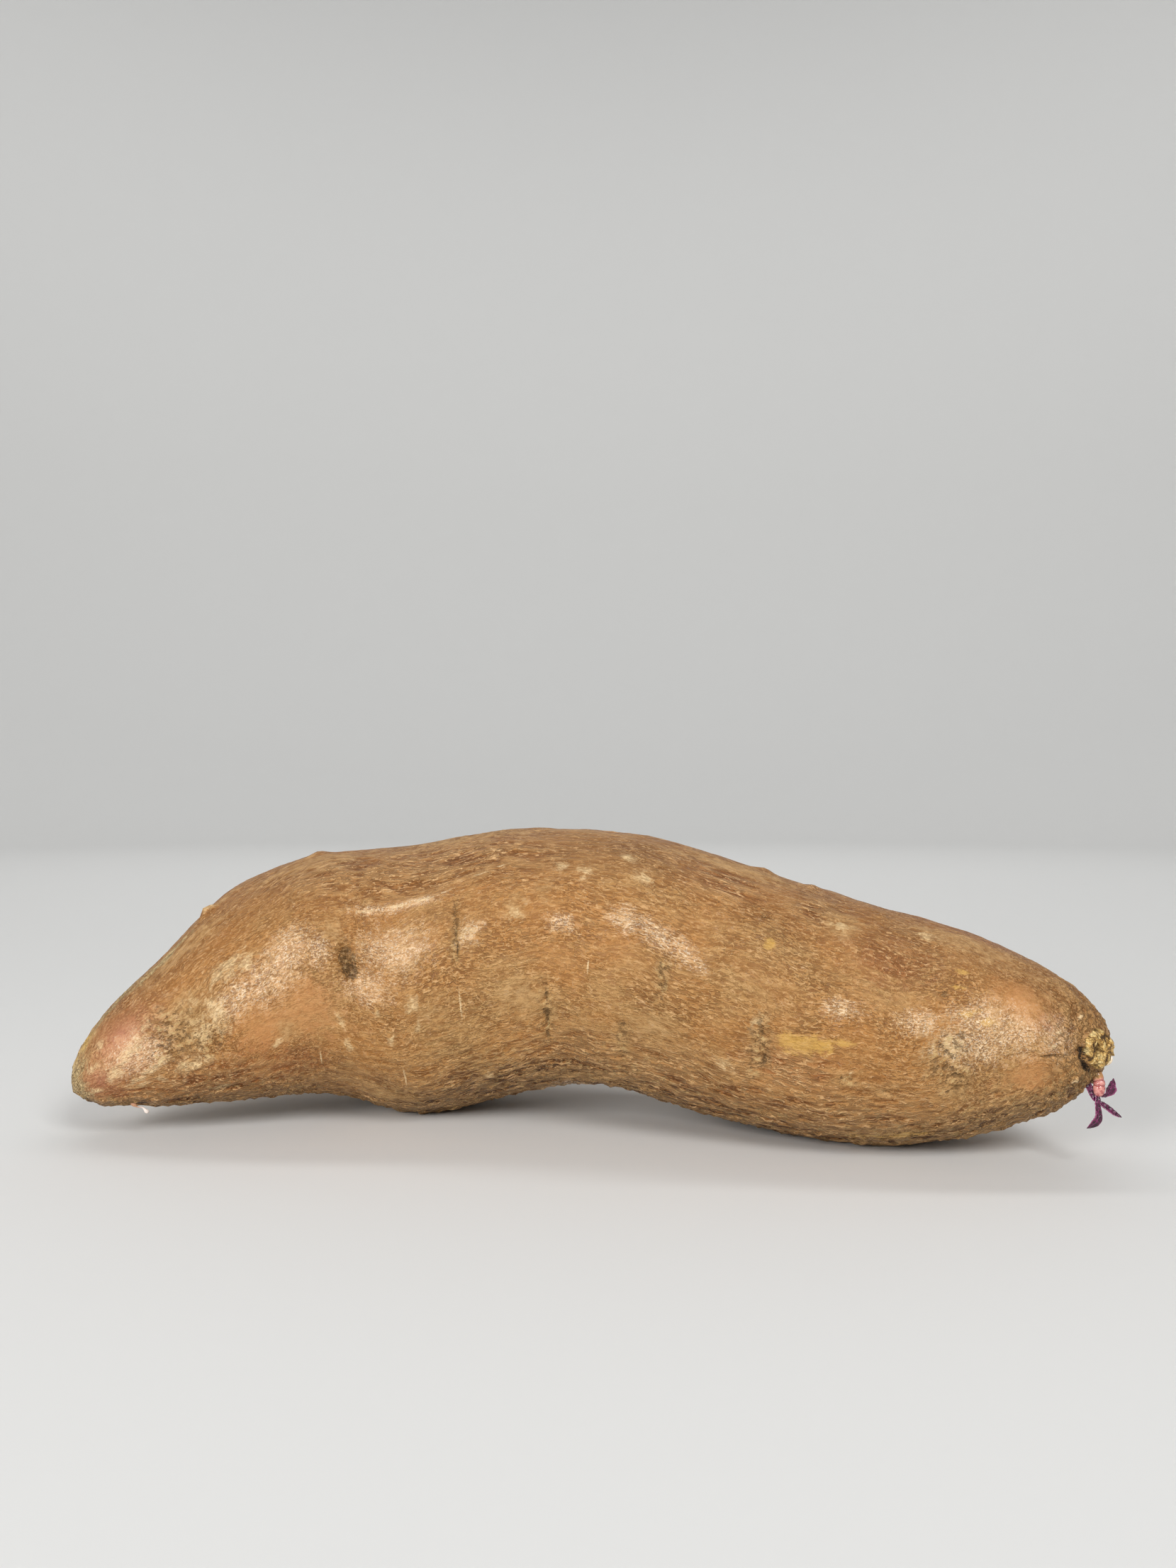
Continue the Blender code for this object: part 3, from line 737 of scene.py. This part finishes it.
# The mesh's own folds: paler on their crests, and painted shade in their creases.
colour = cork.mix(cork.ramp(crest, 0.25, 1.0, 0.0, 0.3), colour, tint(214, 170, 112))
colour = cork.mix(cork.ramp(crest, -0.05, -0.9, 0.0, 0.28), colour, tint(106, 66, 30))

# Small marks: pale flecks and threads, with a painted highlight along the ridge's crest, holes, fissures,
# slits, crumbs and grit.
colour = cork.glaze(colour, tint(230, 198, 148), pale_share, cork.ramp(rise, 0.2, 0.7, 0.4, 0.95))
colour = cork.glaze(colour, tint(238, 206, 158), thread_and_ridge_highlight_share, 0.85)
colour = cork.glaze(colour, tint(92, 66, 34), scab_holes, 0.7)
colour = cork.glaze(colour, tint(88, 60, 32), fissures, 0.5)
colour = cork.glaze(colour, tint(92, 70, 42), dark_share, 0.6)
colour = cork.glaze(colour, tint(206, 178, 124), scab_crumbs, cork.ramp(dark_share, 0.0, 1.0, 0.6, 0.5))
colour = cork.mix(cork.ramp(grit, 0.5, 0.85, 0.0, 0.35), colour, tint(120, 82, 42))

# The stump is bare cork: straw-coloured crumbs, dark brown where it has rotted away, painted shade in its
# craters, and a near black painted shadow in the crack at its rim.
rot = cork.cloud(place, (1.5, 1.5, 1.5), detail=3.0, rough=0.66, warp=0.6, shift=23.0)
straw = cork.mix(cork.ramp(rot, 0.36, 0.50), tint(252, 222, 154), tint(216, 172, 98))
straw = cork.mix(cork.ramp(rot, 0.50, 0.55, 0.0, 0.8), straw, tint(122, 86, 44))
straw = cork.mix(cork.ramp(rot, 0.57, 0.61, 0.0, 0.85), straw, tint(54, 38, 20))
straw = cork.mix(cork.ramp(grit, 0.45, 0.75, 0.0, 0.4), straw, tint(130, 94, 46))
straw = cork.glaze(straw, tint(78, 54, 28), painted_hollow_shade_share, 0.7)
colour = cork.mix(cork.ramp(stump_share, 0.3, 0.6), colour, straw)
# Painted shadow: near black in the sunken crack at the stump's rim.
painted_crack_shadow = cork.plus(moat_share, cork.times(speckle, 0.9))
painted_crack_shadow = cork.times(cork.ramp(painted_crack_shadow, 0.25, 0.8, 0.0, 0.95), cork.ramp(moat_share, 0.05, 0.3))
colour = cork.mix(painted_crack_shadow, colour, tint(38, 28, 18))
cork.feed(cork.shader.inputs["Base Color"], colour)

# The same wrinkles, blots and holes as a bump, and a skin that shines most on the glossy patches.
lift = cork.plus(cork.minus(crests, valleys), cork.times(grit, 0.6))
lift = cork.plus(lift, cork.times(streak, 0.8))
lift = cork.plus(lift, cork.times(blot, cork.ramp(stump_share, 0.2, 0.8, 0.8, 2.0)))
lift = cork.minus(lift, cork.times(cork.plus(scab_holes, fissures), 1.5))
bump = cork.node("ShaderNodeBump", {"Height": lift, "Distance": 0.00014, "Strength": 1.0})
cork.feed(cork.shader.inputs["Normal"], bump.outputs["Normal"])
satin = cork.plus(cork.ramp(glossy_painted_sheen_share, 0.0, 1.0, 0.46, 0.28), cork.times(grey_share, 0.15))
satin = cork.plus(satin, cork.times(calm_share, 0.12))
cork.feed(cork.shader.inputs["Roughness"], satin)
gleam = cork.plus(glossy_painted_sheen_share, cork.times(stump_share, 0.3))
cork.feed(cork.shader.inputs["Specular IOR Level"], cork.ramp(gleam, 0.0, 1.0, 0.25, 0.6))
root.data.materials.append(cork.material)

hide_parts("tuber")
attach(root, "root")

# The sprout --------------------------------------------------------------------------
# A pink bud pushes out of the root's neck below the stump, with four small leaves, dark
# purple and glossy, folded along the rib and pale at the edge, that spring from its foot.

# Rows along each piece: x, y, z of its middle, half its width across, half its depth.
BUD_STATIONS = (
    (99.25, -32.45, 20.0, 0.90, 0.60), (99.35, -32.55, 19.1, 1.10, 0.80),
    (99.55, -32.70, 18.3, 1.08, 0.92), (99.62, -32.80, 17.5, 1.16, 1.00),
    (99.55, -32.90, 16.7, 1.18, 1.00), (99.47, -32.95, 15.9, 1.00, 0.88),
    (99.40, -33.00, 15.3, 0.62, 0.58), (99.38, -33.00, 15.05, 0.05, 0.05),
)
BUD_CREASES = (0.30, 0.47)
# The side that each leaf shows, how far it is folded, and its rows.
LEAVES = {
    "sprout_leaf_long": ((0.15, -1.0, 0.1), 0.35, (
        (99.15, -33.0, 15.5, 0.36, 0.20), (99.08, -33.3, 14.7, 0.56, 0.22),
        (98.95, -33.5, 13.5, 0.60, 0.20), (99.08, -33.6, 11.75, 0.72, 0.20),
        (98.72, -33.6, 10.6, 0.86, 0.20), (97.9, -33.5, 9.76, 0.58, 0.16),
        (96.9, -33.4, 9.05, 0.04, 0.04))),
    "sprout_leaf_side": ((0.35, -1.0, 0.35), 0.35, (
        (99.35, -33.4, 14.3, 0.22, 0.16), (99.85, -33.6, 13.75, 0.52, 0.18),
        (100.75, -33.8, 13.1, 0.62, 0.20), (101.9, -34.1, 12.2, 0.54, 0.18),
        (102.75, -34.3, 11.75, 0.32, 0.12), (103.3, -34.4, 11.45, 0.03, 0.03))),
    "sprout_leaf_folded": ((0.2, -1.0, -0.2), 0.5, (
        (99.9, -32.9, 15.2, 0.22, 0.16), (100.9, -32.8, 15.55, 0.55, 0.18),
        (101.55, -32.8, 16.4, 1.15, 0.20), (101.82, -32.85, 17.15, 1.00, 0.18),
        (102.08, -32.9, 17.95, 0.62, 0.14), (102.35, -33.0, 18.75, 0.03, 0.03))),
    "sprout_leaf_back": ((-0.3, -1.0, 0.0), 0.3, (
        (97.45, -32.35, 17.7, 0.60, 0.18), (97.9, -32.55, 16.65, 0.62, 0.18),
        (98.32, -32.7, 15.4, 0.50, 0.18), (98.6, -32.9, 14.5, 0.26, 0.14),
        (98.7, -32.9, 14.15, 0.03, 0.03))),
}
LOFT_RINGS = 60
LOFT_SIDES = 36
TOWARDS_FRONT = (0.0, -1.0, 0.0)


def lofted(name, stations, facing, fold=0.0, crumple=0.0, creases=()):
    """Rings across a spline, each an oval folded along its middle.

    Ring = middle + across * half width * cos + deep * (half depth * sin + fold * half
    width * |cos|), crumpled by noise, and drawn in by an eighth at each crease.
    """
    stations = np.array(stations)
    last = len(stations) - 1
    places = np.linspace(0.0, last, LOFT_RINGS)
    line = read_spline(stations, spline_bends(stations, level_columns=()), places)
    share = np.linspace(0.0, 1.0, LOFT_RINGS)
    halves = np.maximum(line[:, 3:], 0.02)
    for crease in creases:
        halves *= 1.0 - 0.125 * np.exp(-(((share - crease) / 0.03) ** 2))[:, None]
    way = unit(np.gradient(line[:, :3], axis=0))
    across = unit(np.cross(way, facing))
    deep = np.cross(across, way)
    turns = np.linspace(0.0, 2.0 * np.pi, LOFT_SIDES, endpoint=False)
    level, lift = np.cos(turns), np.sin(turns)
    outer = halves[:, :1] * level
    bulge = halves[:, 1:] * lift + fold * halves[:, :1] * np.abs(level)
    points = (line[:, None, :3] + across[:, None] * outer[..., None]
              + deep[:, None] * bulge[..., None])
    crumpled = crumple * noise(points / 0.5, 51) * np.minimum(1.0, halves[:, :1] / 0.4)
    points = points + deep[:, None] * crumpled[..., None]
    lie = np.stack(np.broadcast_arrays(share[:, None], level, lift), axis=-1)
    return closed_surface(name, points, {"lie": lie})


bud = lofted("pink_bud", BUD_STATIONS, TOWARDS_FRONT, crumple=0.08, creases=BUD_CREASES)
blush = Finish("bud_skin")
down_bud = blush.parts(blush.attribute("lie"))[0]
blush_place = blush.node("ShaderNodeTexCoord", {}).outputs["Object"]
blush_cloud = blush.cloud(blush_place, (0.0007, 0.0007, 0.0005), detail=3.0, rough=0.6)
pink = blush.mix(blush.ramp(blush_cloud, 0.35, 0.65), tint(178, 92, 90), tint(226, 158, 146))
pink = blush.mix(blush.ramp(down_bud, 0.32, 0.16), pink, tint(186, 136, 86))
pink = blush.mix(blush.ramp(down_bud, 0.75, 1.0), pink, tint(130, 40, 84))
# Painted shade in the bud's two creases.
for crease in BUD_CREASES:
    pink = blush.glaze(pink, tint(140, 52, 52), blush.line(down_bud, crease, 0.04), 0.7)
blush.feed(blush.shader.inputs["Base Color"], pink)
blush.shader.inputs["Roughness"].default_value = 0.24
blush.shader.inputs["Specular IOR Level"].default_value = 0.7
bud.data.materials.append(blush.material)
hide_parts("sprout_bud")
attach(bud, "root")

purple = Finish("leaf_skin")
over_leaf = purple.parts(purple.attribute("lie"))[1]
leaf_place = purple.node("ShaderNodeTexCoord", {}).outputs["Object"]
leaf_cloud = purple.cloud(leaf_place, (0.0006, 0.0006, 0.0008), detail=3.0, rough=0.6)
leaf_colour = purple.mix(purple.ramp(leaf_cloud, 0.38, 0.60), tint(44, 4, 28), tint(96, 12, 64))
# Pink specks: painted highlights on the leaves.
leaf_colour = purple.mix(purple.ramp(leaf_cloud, 0.60, 0.72), leaf_colour, tint(190, 104, 154))
leaf_edge = purple.ramp(over_leaf, 0.66, 0.94, 0.0, 0.7)
leaf_colour = purple.mix(leaf_edge, leaf_colour, tint(176, 84, 134))
leaf_colour = purple.mix(purple.line(over_leaf, 0.0, 0.10), leaf_colour, tint(138, 50, 104))
purple.feed(purple.shader.inputs["Base Color"], leaf_colour)
leaf_bump = purple.node("ShaderNodeBump", {"Height": leaf_cloud, "Distance": 0.0002, "Strength": 1.0})
purple.feed(purple.shader.inputs["Normal"], leaf_bump.outputs["Normal"])
purple.shader.inputs["Roughness"].default_value = 0.26
purple.shader.inputs["Specular IOR Level"].default_value = 0.7
for node, (facing, fold, stations) in LEAVES.items():
    leaf = lofted(node.replace("sprout", "purple"), stations, facing, fold, crumple=0.16)
    leaf.data.materials.append(purple.material)
    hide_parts(node)
    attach(leaf, "root")

# The second bud ----------------------------------------------------------------------
# A sleeping bud, cream and glossy like a grain of rice, in the stump's lower right rim.

PALE_BUD_STATIONS = (
    (99.55, -35.55, 21.85, 0.06, 0.05), (99.8, -35.66, 22.0, 0.22, 0.20),
    (100.2, -35.72, 22.4, 0.38, 0.32), (100.6, -35.66, 22.95, 0.38, 0.32),
    (100.8, -35.50, 23.45, 0.22, 0.20), (100.85, -35.40, 23.7, 0.04, 0.04),
)

pale_bud = lofted("cream_bud", PALE_BUD_STATIONS, TOWARDS_FRONT, crumple=0.05)
cream = Finish("cream_bud_skin")
down_pale = cream.parts(cream.attribute("lie"))[0]
rice = cream.mix(cream.ramp(down_pale, 0.3, 0.9), tint(226, 204, 170), tint(242, 228, 208))
cream.feed(cream.shader.inputs["Base Color"], rice)
cream.shader.inputs["Roughness"].default_value = 0.25
pale_bud.data.materials.append(cream.material)
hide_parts("second_bud")
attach(pale_bud, "root")

# The rootlet -------------------------------------------------------------------------
# A feeder root broken off short: a tan collar on the skin, a thin neck, a swollen white tip.

ROOTLET_STATIONS = (
    (-96.9, -12.7, 8.75, 0.30, 0.25), (-96.5, -12.9, 8.35, 0.44, 0.36),
    (-95.95, -13.0, 8.05, 0.42, 0.34), (-95.5, -13.0, 7.7, 0.16, 0.15),
    (-94.9, -13.0, 7.58, 0.12, 0.12), (-94.35, -13.0, 7.52, 0.15, 0.14),
    (-93.9, -13.0, 7.15, 0.28, 0.26), (-93.45, -13.0, 6.72, 0.42, 0.38),
    (-93.15, -13.0, 6.5, 0.30, 0.28), (-93.02, -13.0, 6.4, 0.04, 0.04),
)

rootlet = lofted("white_rootlet", ROOTLET_STATIONS, TOWARDS_FRONT, crumple=0.06)
white = Finish("rootlet_skin")
down_rootlet = white.parts(white.attribute("lie"))[0]
bleached = white.mix(white.ramp(down_rootlet, 0.25, 0.7), tint(196, 144, 108), tint(236, 222, 212))
white.feed(white.shader.inputs["Base Color"], bleached)
white.shader.inputs["Roughness"].default_value = 0.5
rootlet.data.materials.append(white.material)
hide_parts("rootlet")
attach(rootlet, "root")

# Studio ------------------------------------------------------------------------------
# A pale floor that curves up into a wall all round, and broad soft lights: two windows in
# front, a weak one behind, and a wash on the back wall.  Metres, from the floor's middle.

FLOOR_RADIUS = 1.3
WALL_BEND = 0.6
WALL_HEIGHT = 1.6
FLOOR_RINGS = 20
BEND_RINGS = 24
BOWL_SIDES = 96


def studio_bowl():
    """A turned profile: flat floor, a quarter round, then a plain wall."""
    bend = np.linspace(0.0, np.pi / 2.0, BEND_RINGS + 1)[1:]
    reach = np.concatenate((np.linspace(0.0, FLOOR_RADIUS, FLOOR_RINGS),
                            FLOOR_RADIUS + WALL_BEND * np.sin(bend), [FLOOR_RADIUS + WALL_BEND]))
    rise = np.concatenate((np.zeros(FLOOR_RINGS), WALL_BEND * (1.0 - np.cos(bend)), [WALL_HEIGHT]))
    turns = np.linspace(0.0, 2.0 * np.pi, BOWL_SIDES, endpoint=False)
    points = np.stack((reach[:, None] * np.cos(turns), reach[:, None] * np.sin(turns),
                       rise[:, None] + 0.0 * turns), axis=-1)
    rows, sides = points.shape[:2]
    here = np.arange((rows - 1) * sides).reshape(rows - 1, sides)
    beside = np.roll(here, -1, axis=1)
    quads = np.stack((here, here + sides, beside + sides, beside), axis=-1).reshape(-1, 4)
    mesh = bpy.data.meshes.new("studio")
    mesh.from_pydata(points.reshape(-1, 3).tolist(), [], quads.tolist())
    mesh.flip_normals()
    mesh.shade_smooth()
    return mesh


studio = bpy.data.objects.new("studio", studio_bowl())
bpy.context.scene.collection.objects.link(studio)
paint = Finish("studio_paint")
paint.shader.inputs["Base Color"].default_value = (0.72, 0.72, 0.71, 1.0)
paint.shader.inputs["Roughness"].default_value = 0.9
paint.shader.inputs["Specular IOR Level"].default_value = 0.1
studio.data.materials.append(paint.material)


def soft_light(name, place, target, size, power):
    """A rectangular light that looks at a target, and that the camera can't see."""
    lamp = bpy.data.lights.new(name, "AREA")
    lamp.shape = "RECTANGLE"
    lamp.size, lamp.size_y = size
    lamp.energy = power
    holder = bpy.data.objects.new(name, lamp)
    holder.location = place
    holder.rotation_euler = (Vector(target) - Vector(place)).to_track_quat("-Z", "Y").to_euler()
    holder.visible_camera = False
    bpy.context.scene.collection.objects.link(holder)


HEART = (0.0, 0.0, 0.03)
BACK_WALL = (0.0, 1.8, 0.25)
soft_light("left_window", (-0.57, -0.73, 0.40), HEART, (0.35, 0.35), 5.6)
soft_light("right_window", (0.37, -0.70, 0.64), HEART, (0.35, 0.35), 4.8)
soft_light("back_window", (0.0, 0.80, 0.85), HEART, (1.6, 0.8), 1.4)
soft_light("wall_wash", (0.0, 0.45, 1.45), BACK_WALL, (2.2, 0.5), 13.0)

world = bpy.data.worlds.new("studio_air")
world.use_nodes = True
air = world.node_tree.nodes["Background"]
air.inputs["Color"].default_value = (1.0, 1.0, 1.0, 1.0)
air.inputs["Strength"].default_value = 0.2
bpy.context.scene.world = world

# Camera ------------------------------------------------------------------------------
# Level, a hand above the table and a forearm from the root, with a wide lens.  The place
# is in the millimetres of the root's drawing.

CAMERA_PLACE = np.array((0.0, -262.0, 76.0))

lens = bpy.data.cameras.new("camera")
lens.lens = 27.0
lens.sensor_width = 36.0
lens.sensor_fit = "AUTO"
lens.clip_start = 0.01
camera = bpy.data.objects.new("camera", lens)
camera.location = (CAMERA_PLACE + SHIFT) * MM
camera.rotation_euler = (np.pi / 2.0, 0.0, 0.0)
bpy.context.scene.collection.objects.link(camera)
bpy.context.scene.camera = camera
bpy.context.scene.view_settings.view_transform = "Standard"
